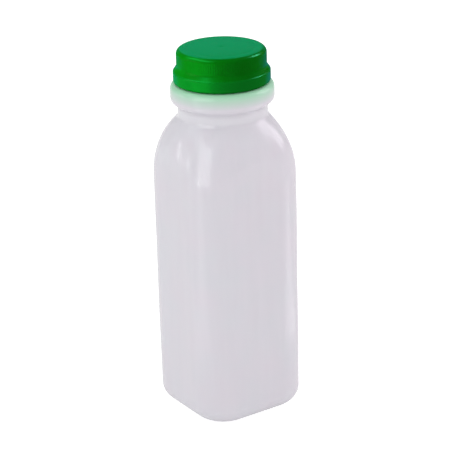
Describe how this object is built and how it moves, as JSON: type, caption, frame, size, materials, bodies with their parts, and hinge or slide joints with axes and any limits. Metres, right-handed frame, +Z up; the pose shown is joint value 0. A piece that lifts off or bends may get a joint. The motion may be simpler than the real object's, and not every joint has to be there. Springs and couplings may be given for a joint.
{
  "type": "plastic milk bottle",
  "caption": "Small square bottle of milky translucent plastic with a domed shoulder, a collared round neck and a green screw cap.",
  "frame": {"origin": "centre of the base, on the surface that the bottle stands on", "axes": "+Z up along the neck's axis; X and Y run square to the flat sides"},
  "size_m": [0.0538, 0.0538, 0.1671],
  "materials": {
    "milky_plastic": "milky translucent, satin",
    "green_plastic": "moulded, half gloss"
  },
  "bodies": {
    "root": {"bottle": "milky_plastic", "cap": "green_plastic"}
  },
  "joints": []
}
